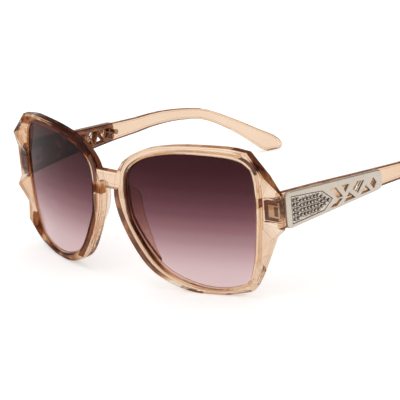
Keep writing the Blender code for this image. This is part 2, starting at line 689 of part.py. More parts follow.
def temple_arm(name, finish):
    rings = []
    for share, *_ in TEMPLE_SHARES:
        bottom, top, inner, outer = temple_section(share)
        y = TEMPLE_FRONT + share * TEMPLE_LENGTH
        section = rounded_rectangle((inner, bottom), (outer, top), TEMPLE_ROUND)
        rings.append([(x, y, max(z, 0.0)) for x, z in section])
    arm = loft_object(name, rings)
    low_x, high_x = TEMPLE_INNER - CUT_OVERRUN, TEMPLE_OUTER + CUT_OVERRUN
    for window in truss_windows() + arm_slots():
        combine(arm, side_prism("window", [on_plaque(*p) for p in window], low_x, high_x), "DIFFERENCE")
    for place in PIN_SHARES:
        combine(arm, pin_hole("hole", place, low_x, high_x), "DIFFERENCE")
    splayed(arm)
    notch_radius = BARREL_RADIUS + CLEARANCE
    notch = turned_object("notch", (HINGE_X, HINGE_Y, 0.0), 2,
                          ((notch_radius, HINGE_BOTTOM - 2 * CLEARANCE),
                           (notch_radius, HINGE_TOP + SCREW_HEAD_HEIGHT + 3 * CLEARANCE)))
    combine(arm, notch, "DIFFERENCE")
    return finished(arm, finish)


# Plaque and crystals

def barred_slits():
    """Slanted slits side by side in a four-sided window, between its lower and its upper edge."""
    low_start, low_end, high_end, high_start = BARRED_SHARES

    def between(start, end, t):
        return tuple(a + (b - a) * t for a, b in zip(start, end))

    width = SLIT_SHARE / (BARRED_SLITS - 1 + SLIT_SHARE)
    slits = []
    for i in range(BARRED_SLITS):
        near = i * (1 - width) / (BARRED_SLITS - 1)
        far = near + width
        slits.append((between(low_start, low_end, near), between(low_start, low_end, far),
                      between(high_start, high_end, far), between(high_start, high_end, near)))
    return tuple(slits)


def plaque(name, finish):
    """Pierced metal plaque with a sunk bed for the crystal panel and thin bars across one window."""
    corners = [on_plaque(0.0, 0.0), on_plaque(1.0, 0.0), on_plaque(1.0, 1.0), on_plaque(0.0, 1.0)]
    outline = rounded_polygon(corners, PLAQUE_CORNER, steps=4)
    windows = [[on_plaque(*p) for p in window] for window in WINDOW_SHARES]
    slits = [[on_plaque(*p) for p in slit] for slit in barred_slits()]
    relief = shrunk([on_plaque(*p) for p in BARRED_SHARES], -CLEARANCE)
    bed = [on_plaque(*p) for p in PANEL_SHARES]
    bars_back = PLAQUE_FACE - BAR_THICKNESS
    bm = bmesh.new()

    def row(points, x):
        return [bm.verts.new((x, y, z)) for y, z in points]

    front_loops, back_loops, bar_loops = [], [], []
    edges = [(outline, PLAQUE_CHAMFER, PLAQUE_BACK, back_loops)]
    edges += [(window, -PLAQUE_CHAMFER / 2, PLAQUE_BACK, back_loops) for window in windows]
    edges += [(slit, -SLIT_CHAMFER, bars_back, bar_loops) for slit in slits]
    for loop, chamfer, back_x, loops in edges:
        back = row(loop, back_x)
        side = row(loop, PLAQUE_FACE - abs(chamfer))
        front = row(shrunk(loop, chamfer), PLAQUE_FACE)
        strip(bm, back, side)
        strip(bm, side, front)
        front_loops.append(front)
        loops.append(back)
    relief_back, relief_floor = row(relief, PLAQUE_BACK), row(relief, bars_back)
    strip(bm, relief_back, relief_floor)
    back_loops.append(relief_back)
    bar_loops.insert(0, relief_floor)
    bed_top = row(bed, PLAQUE_FACE)
    bed_floor = row(bed, PLAQUE_FACE - POCKET_DEPTH)
    strip(bm, bed_top, bed_floor)
    bm.faces.new(bed_floor)
    front_loops.append(bed_top)
    for loops in (front_loops, back_loops, bar_loops):
        fill_between(bm, loops)
    return splayed(new_object(name, bm, finish))


def stone_places(outline):
    """Centres of the stones: rows along the panel, each row centred on its height."""
    area_low = min(p[1] for p in outline)
    area_high = max(p[1] for p in outline)
    rows = int((area_high - area_low) / STONE_PITCH)
    margin = STONE_PITCH / 2
    start_y = min(p[0] for p in outline) + margin
    places = []
    for i in range(rows + 1):
        for column in range(int(PLAQUE_LENGTH / STONE_PITCH)):
            y = start_y + column * STONE_PITCH
            low, high = span_at(outline, y)
            count = int((high - low) / STONE_PITCH)
            if i < count:
                z = (low + high) / 2 + (i - (count - 1) / 2) * STONE_PITCH
                places.append((y, z))
    return places


def span_at(outline, y):
    """Lowest and highest point of the outline at this y, both zero beyond it."""
    heights = []
    for a, b in zip(outline, outline[1:] + outline[:1]):
        if min(a[0], b[0]) <= y < max(a[0], b[0]):
            heights.append(a[1] + (b[1] - a[1]) * (y - a[0]) / (b[0] - a[0]))
    return (min(heights), max(heights)) if heights else (0.0, 0.0)


def crystal_panel(name, finish):
    """Bed with its faceted stones, which lies in the plaque's recess."""
    outline = shrunk([on_plaque(*p) for p in PANEL_SHARES], CLEARANCE)
    back_x = PLAQUE_FACE - POCKET_DEPTH + CLEARANCE
    top_x = back_x + PANEL_THICKNESS
    bm = bmesh.new()
    back = [bm.verts.new((back_x, y, z)) for y, z in outline]
    top = [bm.verts.new((top_x, y, z)) for y, z in outline]
    strip(bm, back, top)
    bm.faces.new(back)
    loops = [top]
    for y, z in stone_places(shrunk(outline, CLEARANCE / 2)):
        rings = []
        for radius, rise in STONE_SHARES:
            rings.append([bm.verts.new(p) for p in ring_points((top_x, y, z), radius * STONE_PITCH, 0,
                                                               rise * STONE_HEIGHT, STONE_SIDES)])
        strip(bm, rings[0], rings[1])
        strip(bm, rings[1], rings[2])
        bm.faces.new(rings[2])
        loops.append(rings[0])
    fill_between(bm, loops)
    return splayed(new_object(name, bm, finish, STONE_SHARP_DEGREES))


def plaque_pin(name, place, seat_x, finish):
    """Pin through the temple, with its head on the inner side."""
    y, z = on_plaque(*place)
    head = seat_x - CLEARANCE
    profile = ((PIN_HEAD_RADIUS * PIN_CROWN_SHARE, head - PIN_HEAD_HEIGHT),
               (PIN_HEAD_RADIUS, head - PIN_HEAD_HEIGHT / 2), (PIN_HEAD_RADIUS, head),
               (PIN_RADIUS, head), (PIN_RADIUS, PLAQUE_BACK - CLEARANCE))
    return splayed(turned_object(name, (0.0, y, z), 0, profile, finish))


# Assembly

def empty(name, location, parent=None):
    made = bpy.data.objects.new(name, None)
    made.location = location
    made.parent = parent
    bpy.context.scene.collection.objects.link(made)
    return made


def hang(item, axis, place):
    """Put the item under the empty at this place, with its origin there."""
    item.data.transform(Matrix.Translation(-Vector(place)))
    item.parent = axis


def main():
    clear_scene()
    champagne = material("champagne_plastic", (0.80, 0.58, 0.42), 0.12, transmission=0.6)
    tinted = material("gradient_lens", (0.30, 0.14, 0.19), 0.05, transmission=0.4)
    silver = material("champagne_silver", (0.74, 0.68, 0.60), 0.25, metallic=1.0)
    steel = material("hinge_steel", (0.60, 0.58, 0.55), 0.3, metallic=1.0)
    crystal = material("crystal", (0.85, 0.84, 0.82), 0.08, metallic=0.3)
    fixed = {"front_frame": front_frame(champagne)}
    left = {
        "lens": lens("lens_left", tinted),
        "hinge_front_leaf": front_leaf("hinge_front_leaf_left", steel),
        "hinge_screw": hinge_screw("hinge_screw_left", steel),
        "hinge_temple_leaf": temple_leaf("hinge_temple_leaf_left", steel),
        "temple_arm": temple_arm("temple_arm_left", champagne),
        "temple_plaque": plaque("temple_plaque_left", silver),
        "crystal_panel": crystal_panel("crystal_panel_left", crystal),
        "plaque_pin_front": plaque_pin("plaque_pin_front_left", PIN_SHARES[0],
                                       TEMPLE_INNER - CLEARANCE - TEMPLE_LEAF_THICKNESS, steel),
        "plaque_pin_rear": plaque_pin("plaque_pin_rear_left", PIN_SHARES[1], TEMPLE_INNER, steel),
    }
    carried = ("hinge_temple_leaf", "temple_arm", "temple_plaque", "crystal_panel",
               "plaque_pin_front", "plaque_pin_rear")
    right = {}
    for key, item in left.items():
        sharp = STONE_SHARP_DEGREES if key == "crystal_panel" else SHARP_DEGREES
        right[key] = mirrored(item, f"{key}_right", item.data.materials[0], sharp)

    everything = list(fixed.values()) + list(left.values()) + list(right.values())
    depths = [vertex.co.y for item in everything for vertex in item.data.vertices]
    assembly = empty("sunglasses", (0.0, -(min(depths) + max(depths)) / 2, 0.0))
    for side, pieces in ((1.0, left), (-1.0, right)):
        place = (side * HINGE_X, HINGE_Y, HINGE_Z)
        axis = empty("hinge_axis_left" if side > 0 else "hinge_axis_right", place, assembly)
        for key, item in pieces.items():
            if key in carried:
                hang(item, axis, place)
            else:
                item.parent = assembly
    fixed["front_frame"].parent = assembly
    bpy.context.view_layer.update()
    axis_place = bpy.data.objects["hinge_axis_left"].matrix_world.translation
    print("hinge axis (mm)", [round(c / MM, 3) for c in axis_place])
    print("butt plane (mm)", round((BUTT_Y + assembly.location.y) / MM, 3))
    print("shift to the middle (mm)", round(assembly.location.y / MM, 3))


main()
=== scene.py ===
"""Square sunglasses: finishes, crystals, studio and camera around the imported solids."""
import math

import bmesh
import bpy
from mathutils import Matrix, Vector


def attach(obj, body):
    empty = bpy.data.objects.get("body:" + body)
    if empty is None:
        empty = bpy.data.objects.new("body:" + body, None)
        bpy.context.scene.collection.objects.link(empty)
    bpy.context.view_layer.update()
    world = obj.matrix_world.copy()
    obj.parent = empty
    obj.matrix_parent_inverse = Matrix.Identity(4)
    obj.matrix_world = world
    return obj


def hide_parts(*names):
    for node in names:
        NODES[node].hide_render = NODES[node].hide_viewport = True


MM = 0.001
X, Y, Z = range(3)

# Shape of the front, as in the part

FRONT_RADIUS = 128.0 * MM       # of the curve round the face
BROW_RADIUS = 200.0 * MM        # of the curve from brow to cheek
FRONT_Y = -80.482 * MM          # foremost point of both curves
CURVE_MID = 27.56 * MM          # height of that point and of the lenses' middles
LENS_MID = 34.35 * MM           # distance of a lens's middle from the middle of the nose
OPENING_POWER = 4.0             # the lens openings are close to a curve of this power
OPENING_HALF_WIDTH = 26.1 * MM
OPENING_HALF_HEIGHT = 25.2 * MM
OPENING_LIMIT = 1.055           # their walls and grooves lie inside this multiple of the curve
NOSE_EDGE = 8.7 * MM            # edge of an opening on the nose side, down to NOSE_TOP
NOSE_TOP = 37.6 * MM
NOSE_CURVE = 14.9               # how fast that edge runs outwards below NOSE_TOP
HINGE_HEIGHT = 32.95 * MM
WELD = 0.001 * MM               # points closer than this are one point

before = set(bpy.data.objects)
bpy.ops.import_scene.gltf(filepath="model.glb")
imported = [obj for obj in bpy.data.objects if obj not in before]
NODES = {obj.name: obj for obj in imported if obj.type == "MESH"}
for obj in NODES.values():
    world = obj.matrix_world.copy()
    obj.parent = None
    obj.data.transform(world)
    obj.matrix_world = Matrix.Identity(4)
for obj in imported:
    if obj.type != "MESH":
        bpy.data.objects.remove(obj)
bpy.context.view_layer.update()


# Shader maths

class Value:
    """A socket of a node tree that Python's operators extend with Math nodes."""

    def __init__(self, tree, socket):
        self.tree = tree
        self.socket = socket

    def math(self, operation, *others):
        return node(self.tree, "ShaderNodeMath", {"operation": operation}, dict(enumerate((self, *others))))

    def __add__(self, other):
        return self.math("ADD", other)

    __radd__ = __add__

    def __mul__(self, other):
        return self.math("MULTIPLY", other)

    __rmul__ = __mul__

    def __sub__(self, other):
        return self.math("SUBTRACT", other)

    def __rsub__(self, other):
        return node(self.tree, "ShaderNodeMath", {"operation": "SUBTRACT"}, {0: other, 1: self})

    def __pow__(self, other):
        return self.math("POWER", other)

    def __abs__(self):
        return self.math("ABSOLUTE")

    def __gt__(self, other):
        return self.math("GREATER_THAN", other)

    def __lt__(self, other):
        return self.math("LESS_THAN", other)

    def at_least(self, other):
        return self.math("MAXIMUM", other)

    def at_most(self, other):
        return self.math("MINIMUM", other)


def node(tree, kind, settings=None, inputs=None, output=0):
    """Add a node: settings first, then the values or links of its sockets."""
    made = tree.nodes.new(kind)
    for name, value in (settings or {}).items():
        if name == "stops":
            elements = made.color_ramp.elements
            while len(elements) < len(value):
                elements.new(0.5)
            for element, (place, colour) in zip(elements, value):
                element.position = place
                element.color = (*colour, 1.0)
        else:
            setattr(made, name, value)
    for name, value in (inputs or {}).items():
        if isinstance(value, Value):
            tree.links.new(value.socket, made.inputs[name])
        else:
            made.inputs[name].default_value = value
    return Value(tree, made.outputs[output])


def object_place(tree):
    return node(tree, "ShaderNodeTexCoord", output="Object")


def surface_normal(tree):
    return node(tree, "ShaderNodeTexCoord", output="Normal")


def ray(tree, kind):
    """1 for rays of one kind, such as Shadow or Camera."""
    return node(tree, "ShaderNodeLightPath", output=f"Is {kind} Ray")


def noise(place, scale, detail=2.0, stretch=None):
    if stretch is not None:
        place = node(place.tree, "ShaderNodeMapping", {}, {"Vector": place, "Scale": stretch})
    return node(place.tree, "ShaderNodeTexNoise", {}, {"Vector": place, "Scale": scale, "Detail": detail})


def mapped(value, low, high, to_low, to_high):
    return node(value.tree, "ShaderNodeMapRange", {}, {0: value, 1: low, 2: high, 3: to_low, 4: to_high})


def spread(grain, low, high):
    """A noise, which keeps mostly between 0.3 and 0.7, spread from low to high."""
    return mapped(grain, 0.3, 0.7, low, high)


def within(value, low, high):
    """1 where the value lies between two limits, 0 elsewhere."""
    return (value > low) * (value < high)


def mixed(share, first, second):
    """A colour between two others, each given as a colour or a link."""
    first, second = (c if isinstance(c, Value) else (*c, 1.0) for c in (first, second))
    return node(share.tree, "ShaderNodeMix", {"data_type": "RGBA"}, {0: share, 6: first, 7: second}, output=2)


def ramp(share, stops):
    return node(share.tree, "ShaderNodeValToRGB", {"stops": stops}, {0: share})


def split(vector):
    return [node(vector.tree, "ShaderNodeSeparateXYZ", {}, {0: vector}, output=k) for k in (X, Y, Z)]


def facing(tree, axis):
    """How squarely the surface faces along an axis, without sign."""
    return abs(split(surface_normal(tree))[axis])


def principled(tree, looks):
    return node(tree, "ShaderNodeBsdfPrincipled", {}, looks)


def background(tree, colour):
    return node(tree, "ShaderNodeBackground", {}, {"Color": colour, "Strength": 1.0})


def chosen(share, first, second):
    """The first shader where the share is 0, the second where it is 1."""
    return node(share.tree, "ShaderNodeMixShader", {}, {0: share, 1: first, 2: second})


def lamp_lit(shader, colour):
    """The shader, with rays from the lamps let through in a colour, so that light reaches what is behind."""
    let_through = node(shader.tree, "ShaderNodeBsdfTransparent", {}, {"Color": (*colour, 1.0)})
    return chosen(ray(shader.tree, "Shadow"), shader, let_through)


def new_finish(name):
    finish = bpy.data.materials.new(name)
    finish.use_nodes = True
    finish.node_tree.nodes.clear()
    return finish, finish.node_tree


def set_surface(shader, volume=None):
    tree = shader.tree
    out = tree.nodes.new("ShaderNodeOutputMaterial")
    tree.links.new(shader.socket, out.inputs["Surface"])
    if volume is not None:
        tree.links.new(volume.socket, out.inputs["Volume"])


# Zones of the front, most of them for its painted shade: depths are behind its curved face, widths from the
# middle of the nose

LIP_DEPTH = 0.7 * MM            # the opening's front lip ends here
RAISED_DEPTH = -0.3 * MM        # what lies before this is raised off the curve
BACK_LIP_DEPTH = 3.35 * MM
NOSE_SIDE_END = (18.0 * MM, 24.0 * MM)
TEMPLE_SIDE_START = (LENS_MID, LENS_MID + 4.0 * MM)
PAD_END = (13.0 * MM, 19.0 * MM)
PAD_TOP = 37.5 * MM
PAD_FRONT_DEPTH = 2.0 * MM
FLARE_WIDTH = 52.0 * MM         # the temporal flare lies beyond this
FLARE_CREST = 39.5 * MM         # the left one is brown only above this
# accents are thin bands of painted shade on the walls of the left opening
ACCENT_BANDS = ((4.0 * MM, 7.0 * MM), (30.0 * MM, 35.0 * MM), (49.0 * MM, 51.5 * MM))
PATCHED_BAND = (14.0 * MM, 23.0 * MM)
ACCENT_DEPTH = 0.9 * MM
ACCENT_WIDTH = 20.0 * MM        # the accents lie beyond this
# the walls of the hinge pockets are brown with painted shade
POCKET_WIDTHS = (61.0 * MM, 67.0 * MM)
POCKET_HEIGHTS = (27.0 * MM, 39.0 * MM)
BROWN_END = (4.2 * MM, 5.0 * MM)
GROOVE_DEPTHS = (0.75 * MM, 3.3 * MM)
CALM_GROOVE_START = 22.0 * MM
UPWARD = 0.6                    # a wall whose normal's Z is above this is a top
DOWNWARD = -0.75                # and below this an underside
GROOVE_FACING = 0.4
RIGHT_TEMPLE_BROWN = 0.4        # the share of brown there, where 1 is the whole
TOP_CLEARING = 0.45             # shares of brown that are taken away on the left
UNDERSIDE_CLEARING = 0.5
FLARE_CLEARING = 0.9


def front_depth(place):
    """Distance behind the curved face of the front."""
    x, y, z = split(place)
    rise = z - CURVE_MID
    return y - (x * x * (0.5 / FRONT_RADIUS) + rise * rise * (0.5 / BROW_RADIUS) + FRONT_Y)


def away_from_lens(place):
    """Positive on walls that look away from the middle of their lens, negative on those that look at it."""
    x, _, z = split(place)
    nx, _, nz = split(surface_normal(place.tree))
    return nx * x.math("SIGN") * (abs(x) - LENS_MID) + nz * (z - CURVE_MID)


def on_opening(place):
    """1 on the walls of the lens openings and their grooves, 0 on the outer walls of the front."""
    x, _, z = split(place)
    across = (abs(x) - LENS_MID) * (1.0 / OPENING_HALF_WIDTH)
    up = (z - CURVE_MID) * (1.0 / OPENING_HALF_HEIGHT)
    return across ** OPENING_POWER + up ** OPENING_POWER < OPENING_LIMIT ** OPENING_POWER


def groove_under_brow(place):
    """1 on the floor of the left lens groove under the brow, 0 elsewhere."""
    x, _, z = split(place)
    floor_of_groove = within(front_depth(place), *GROOVE_DEPTHS) * (facing(place.tree, Z) > GROOVE_FACING)
    return on_opening(place) * floor_of_groove * (z > CURVE_MID) * (x > CALM_GROOVE_START)


def lens_side_share(x, depth, patches):
    """How brown the walls are that look at the middle of their lens, in painted shade that stands in for dark
    refractions.
    """
    across, left, right = abs(x), x > 0.0, x < 0.0
    nose_side = mapped(across, *NOSE_SIDE_END, 1.0, 0.0)
    temple_side = mapped(across, *TEMPLE_SIDE_START, 0.0, 1.0)
    front_lip = (depth < LIP_DEPTH) * (1.0 - left * (depth < RAISED_DEPTH))
    back_lip = (depth > BACK_LIP_DEPTH) * (1.0 - temple_side)
    lips = front_lip * (1.0 - temple_side * left * (1.0 - patches)) + back_lip
    lips = lips * (1.0 - nose_side * right) * (1.0 - temple_side * right)
    return (lips + nose_side * left + temple_side * right * RIGHT_TEMPLE_BROWN).at_most(1.0)


def outer_share(place, depth, patches):
    """How brown the walls are that look away from it, in painted shade; on the left opening only accents are.
    """
    x, _, z = split(place)
    nz = split(surface_normal(place.tree))[Z]
    across, left = abs(x), x > 0.0
    pad = mapped(across, *PAD_END, 1.0, 0.0) * (z < PAD_TOP)
    flare = across > FLARE_WIDTH
    top, underside = (nz > UPWARD) * (1.0 - flare), nz < DOWNWARD
    share = 1.0 - left * (top * TOP_CLEARING + underside * UNDERSIDE_CLEARING)
    share = share * (1.0 - pad * (1.0 - left * (depth < PAD_FRONT_DEPTH)))
    share = share * (1.0 - flare * left * (z < FLARE_CREST) * FLARE_CLEARING)
    bands = sum(within(z, *band) for band in ACCENT_BANDS) + within(z, *PATCHED_BAND) * patches
    clear = on_opening(place) * left * (across > ACCENT_WIDTH)
    return share * (1.0 - clear) + bands * (depth < ACCENT_DEPTH) * clear


def wall_share(place, patches):
    """How brown the walls of the front are, in painted shade that stands in for dark refractions, with the
    hinge pockets brown and all that lies far back clear.
    """
    x, _, z = split(place)
    depth = front_depth(place)
    towards = away_from_lens(place) < 0.0
    share = towards * lens_side_share(x, depth, patches)
    share = share + (1.0 - towards) * outer_share(place, depth, patches)
    pocket = within(abs(x), *POCKET_WIDTHS) * within(z, *POCKET_HEIGHTS)
    return (share + pocket).at_most(1.0) * mapped(depth, *BROWN_END, 1.0, 0.0)


# Zones of the wearer's right, where deeper brown is painted shade that stands in for dark refractions

FRONT_HALF = (2.0 * MM, 3.0 * MM)
BROW_RISE = (38.0 * MM, 50.0 * MM)
BROW_START = -9.0 * MM
CHEEK_START = (-30.0 * MM, -22.0 * MM)
CHEEK_TOP = 14.0 * MM
WAIST_HEIGHT = 34.0 * MM
WAIST_FADE = (3.0 * MM, 7.0 * MM)
SHOULDER_HEIGHTS = (38.0 * MM, 44.0 * MM)
SHOULDER_START = -65.5 * MM
RIGHT_FLARE_START = -60.0 * MM
PAD_EDGE = (0.2 * MM, 3.8 * MM)         # strip beside the opening's edge
PAD_EDGE_HEIGHTS = (5.0 * MM, 36.0 * MM)
PAD_EDGE_START = -8.0 * MM
# where the painted shade lies at the bridge
BRIDGE_SHADE_RISE = (36.3 * MM, 39.0 * MM)
BRIDGE_SHADE_ACROSS = (-5.0 * MM, 2.0 * MM)
BRIDGE_SHADE_START = -9.4 * MM
BRIDGE_SHADE_BOTTOM = 34.0 * MM
BROW_SHARE = 0.5
CHEEK_SHARE = 0.6
PAD_SHARE = 0.64
BRIDGE_SHADE_SHARE = 0.6
BRIDGE_SHADE_TAIL = 0.2                # what is left of the bridge's painted shade at its far end
SHOULDER_SHARE = 0.5            # as a share of the waist's
WAIST_SHARE = 0.30
FLARE_BACK_SHARE = 0.10
FLARE_SHARE = 0.05              # over all of the right flare


def right_hand_painted_shade(place):
    """Painted shade, a deeper brown that stands in for dark refractions: it clouds the brow and cheek on the
    wearer's right, and lies at its pad and bridge.
    """
    x, _, z = split(place)
    front = mapped(front_depth(place), *FRONT_HALF, 1.0, 0.0)
    brow_clouds = mapped(noise(place, 190.0, 2.0, (0.25, 1.0, 1.5)), 0.42, 0.54, 0.12, 1.0)
    brow = mapped(z, *BROW_RISE, 0.0, 1.0) * (x < BROW_START) * brow_clouds * BROW_SHARE
    cheek_clouds = mapped(noise(place, 120.0, 3.0, (1.0, 1.0, 0.5)), 0.42, 0.56, 0.2, 1.0)
    cheek = mapped(x, *CHEEK_START, 1.0, 0.0) * (z < CHEEK_TOP) * cheek_clouds * CHEEK_SHARE
    drop = (NOSE_TOP - z).at_least(0.0)
    beyond_edge = drop * drop * NOSE_CURVE + NOSE_EDGE - abs(x)
    pad = within(beyond_edge, *PAD_EDGE) * within(z, *PAD_EDGE_HEIGHTS) * (x < PAD_EDGE_START) * PAD_SHARE
    bridge_shade = mapped(z, *BRIDGE_SHADE_RISE, BRIDGE_SHADE_SHARE, 0.0) * mapped(x, *BRIDGE_SHADE_ACROSS, 1.0, BRIDGE_SHADE_TAIL)
    bridge_shade = bridge_shade * (x > BRIDGE_SHADE_START) * (z > BRIDGE_SHADE_BOTTOM)
    rim = brow.at_least(cheek).at_least(pad).at_least(bridge_shade) * (x > RIGHT_FLARE_START)
    waist = mapped(abs(z - WAIST_HEIGHT), *WAIST_FADE, 1.0, 0.0)
    waist = waist.at_least(within(z, *SHOULDER_HEIGHTS) * (x < SHOULDER_START) * SHOULDER_SHARE)
    flare = waist * WAIST_SHARE * front + (1.0 - front) * FLARE_BACK_SHARE + FLARE_SHARE
    flare = flare * (x < RIGHT_FLARE_START)
    return (rim * front).at_least(flare)


# Champagne plastic

# from the clear champagne tint to the dark brown used for painted shade
CHAMPAGNE_STOPS = (
    (0.0, (0.977, 0.922, 0.860)), (0.25, (0.78, 0.58, 0.40)), (0.5, (0.42, 0.20, 0.10)),
    (0.75, (0.17, 0.060, 0.028)), (1.0, (0.075, 0.022, 0.010)),
)
CHAMPAGNE_DEPTH = (0.68, 0.39, 0.12)
CHAMPAGNE_DENSITY = 110.0
CHAMPAGNE_LET_THROUGH = (0.93, 0.86, 0.76)
PLASTIC_INDEX = 1.12            # at acetate's own index the dark lenses show as grey inside the rims
CALM_INDEX = 1.0
COAT_INDEX = 1.49
EDGE_ROUNDING = 0.22 * MM
SWIRL_HEIGHT = 0.2 * MM
ARM_END_WIDTH = 67.7 * MM       # beyond this the arm's front end is brown
EDGE_ON = (0.40, 0.62)          # a wall stands edge on below the first, and not at all above the second
BROWN_RANGE = (0.85, 0.55)      # brown of a wall that stands edge on, by its streaks
PATCH_RANGE = (0.585, 0.635)
# painted shade along edges and facet ridges: where the rounded normal turns this far, and how much
RIDGE_TURN = (0.0005, 0.006)
RIDGE_SHARE = 0.26
WINDOW_FACING = (0.25, 0.97)    # of the sloping walls of the arm's windows
WINDOW_CLEARING = 0.6
ARM_END_FACING = 0.6
ARM_SHARE = 0.75
ARM_BODY_DEPTH = 0.03
CLOUD_DEPTH = 0.03


# painted shade on the front: walls that stand edge on to its face are brown in place of dark refractions,
# with the deeper painted shade of the wearer's right
def front_shade(place, streaks, brown):
    patches = mapped(streaks, *PATCH_RANGE, 0.0, 1.0)
    wall = mapped(facing(place.tree, Y), *EDGE_ON, 1.0, 0.0) * wall_share(place, patches)
    return (wall * brown).at_least(right_hand_painted_shade(place))


# painted shade on the arm: walls that stand edge on to its sides, and its front end beyond ARM_END_WIDTH, are
# brown in place of dark refractions; the sloping walls of its windows less so
def arm_shade(place, _, brown):
    tree = place.tree
    wall = mapped(facing(tree, X), *EDGE_ON, 1.0, 0.0)
    inboard_end = (facing(tree, Y) > ARM_END_FACING) * (abs(split(place)[X]) < ARM_END_WIDTH)
    windows = within(facing(tree, Y), *WINDOW_FACING) * WINDOW_CLEARING
    return wall * brown * (1.0 - inboard_end) * (1.0 - windows) * ARM_SHARE


def champagne_plastic(name, shade_of, body_depth=0.0, calm_of=None):
    """Polished clear champagne plastic: tinted all through, brown with painted shade by shade_of and along
    its edges, mirrorless by calm_of.
    """
    finish, tree = new_finish(name)
    place = object_place(tree)
    streaks = noise(place, 210.0)
    shade = shade_of(place, streaks, mapped(streaks, 0.45, 0.70, *BROWN_RANGE))
    edges = node(tree, "ShaderNodeBevel", {"samples": 6}, {"Radius": EDGE_ROUNDING})
    alike = node(tree, "ShaderNodeVectorMath", {"operation": "DOT_PRODUCT"},
                 {0: edges, 1: node(tree, "ShaderNodeNewGeometry", output="Normal")}, output="Value")
    # painted shade: thin dark lines along edges and facet ridges
    ridge_shade = mapped(1.0 - abs(alike), *RIDGE_TURN, 0.0, RIDGE_SHARE)
    cloud = mapped(noise(place, 25.0), 0.35, 0.65, body_depth, body_depth + CLOUD_DEPTH)
    shade = shade.at_least(ridge_shade) + cloud
    swirl = noise(place, 60.0, 3.0, (1.0, 1.0, 2.6))
    scuffs = noise(place, 900.0, 2.0, (1.0, 0.25, 1.0))
    looks = {
        "Base Color": node(tree, "ShaderNodeGamma", {}, {0: ramp(shade, CHAMPAGNE_STOPS), 1: 2.0}),
        "Roughness": mapped(scuffs, 0.4, 0.75, 0.035, 0.09), "Transmission Weight": 1.0,
        "Coat Weight": mapped(shade, 0.08, 0.4, 1.0, 0.12), "Coat IOR": COAT_INDEX, "Coat Roughness": 0.04,
        "Normal": node(tree, "ShaderNodeBump", {}, {"Height": swirl, "Strength": 0.05,
                                                    "Distance": SWIRL_HEIGHT, "Normal": edges}),
    }
    shader = principled(tree, {**looks, "IOR": PLASTIC_INDEX})
    if calm_of is not None:
        shader = chosen(calm_of(place), shader, principled(tree, {**looks, "IOR": CALM_INDEX}))
    depth = node(tree, "ShaderNodeVolumeAbsorption", {},
                 {"Color": (*CHAMPAGNE_DEPTH, 1.0), "Density": CHAMPAGNE_DENSITY})
    set_surface(lamp_lit(shader, CHAMPAGNE_LET_THROUGH), depth)
    return finish


# Lens finishes

TINT_STOPS = (                  # height in metres, and the colour seen through the whole lens
    (0.004, (0.76, 0.60, 0.62)), (0.010, (0.66, 0.49, 0.52)), (0.015, (0.53, 0.36, 0.38)),
    (0.020, (0.38, 0.23, 0.25)), (0.025, (0.26, 0.130, 0.150)), (0.030, (0.165, 0.070, 0.085)),
    (0.035, (0.108, 0.040, 0.050)), (0.040, (0.070, 0.022, 0.028)), (0.046, (0.046, 0.012, 0.016)),
    (0.053, (0.036, 0.009, 0.012)),
)
TINT_WAVER = 0.6 * MM
TINT_LET_THROUGH = (0.30, 0.16, 0.18)
TINTED_INDEX = 1.18
CLEAR_INDEX = 1.12
FILM_SCALE = 60.0
FILM_ROUGHNESS = 0.005
LENS_EDGE_COLOURS = ((0.80, 0.62, 0.44), (0.74, 0.56, 0.39))
LENS_BACK_COLOURS = ((0.99, 0.985, 0.98), (0.97, 0.96, 0.95))


def gradient_lens():
    """Tinted lens: dark plum at the brow that fades to a pale rose at the cheek."""
    finish, tree = new_finish("gradient_lens")
    place = object_place(tree)
    low, high = TINT_STOPS[0][0], TINT_STOPS[-1][0]
    height = split(place)[Z] + (noise(place, 18.0) - 0.5) * TINT_WAVER
    stops = [((z - low) / (high - low), tuple(c * c for c in colour)) for z, colour in TINT_STOPS]
    film = noise(place, FILM_SCALE)
    shader = principled(tree, {"Base Color": ramp(mapped(height, low, high, 0.0, 1.0), stops),
                               "Roughness": spread(film, 0.0, FILM_ROUGHNESS), "IOR": TINTED_INDEX,
                               "Transmission Weight": 1.0})
    set_surface(lamp_lit(shader, TINT_LET_THROUGH))
    return finish


def clear_lens(name, light, dark):
    """Untinted surface of the lens."""
    finish, tree = new_finish(name)
    film = noise(object_place(tree), FILM_SCALE)
    shader = principled(tree, {"Base Color": mixed(film, light, dark), "IOR": CLEAR_INDEX,
                               "Roughness": spread(film, 0.0, FILM_ROUGHNESS), "Transmission Weight": 1.0})
    set_surface(lamp_lit(shader, light))
    return finish


# Metal

SILVER = (0.90, 0.81, 0.70)
# painted shade: the plaque's walls, and its back that lies against the arm
SHADED_WALL_SILVER = (0.42, 0.31, 0.23)
SHADED_BACK_SILVER = (0.46, 0.27, 0.16)
DEEP_SHADE = (0.10, 0.065, 0.05)        # painted shade of what lies deep between the stones and of the stones' sloping facets
STONE_FIELD_LENGTHS = (-58.5 * MM, -36.3 * MM)
STONE_FIELD_HEIGHTS = (26.9 * MM, 37.6 * MM)
TOWARDS_HEAD = -0.01                    # a normal's X times the place's X is below this on the plaque's back
PLAQUE_ROUNDING = 0.12 * MM
BRUSHING_HEIGHT = 0.03 * MM
STEEL = (0.98, 0.96, 0.91)
LEAF_SHADE = (0.20, 0.085, 0.045)
LEAF_INNER = 61.8 * MM                  # edge of the front's hinge leaf towards the lens
LEAF_HALF = 3.22 * MM                   # half its height
LEAF_BACK = -61.3 * MM                  # its sunk face lies before this
LEAF_SIDE_SHADE = 1.3 * MM              # width of the shade along its edge towards the lens
LEAF_END_SHADE = 0.9 * MM               # and along its upper and lower edges
# the knuckle slot, which takes painted shade as well
LEAF_SLOT_IN = 3.9 * MM
LEAF_SLOT_HALF = 1.8 * MM
STEEL_GRAIN_HEIGHT = 0.02 * MM


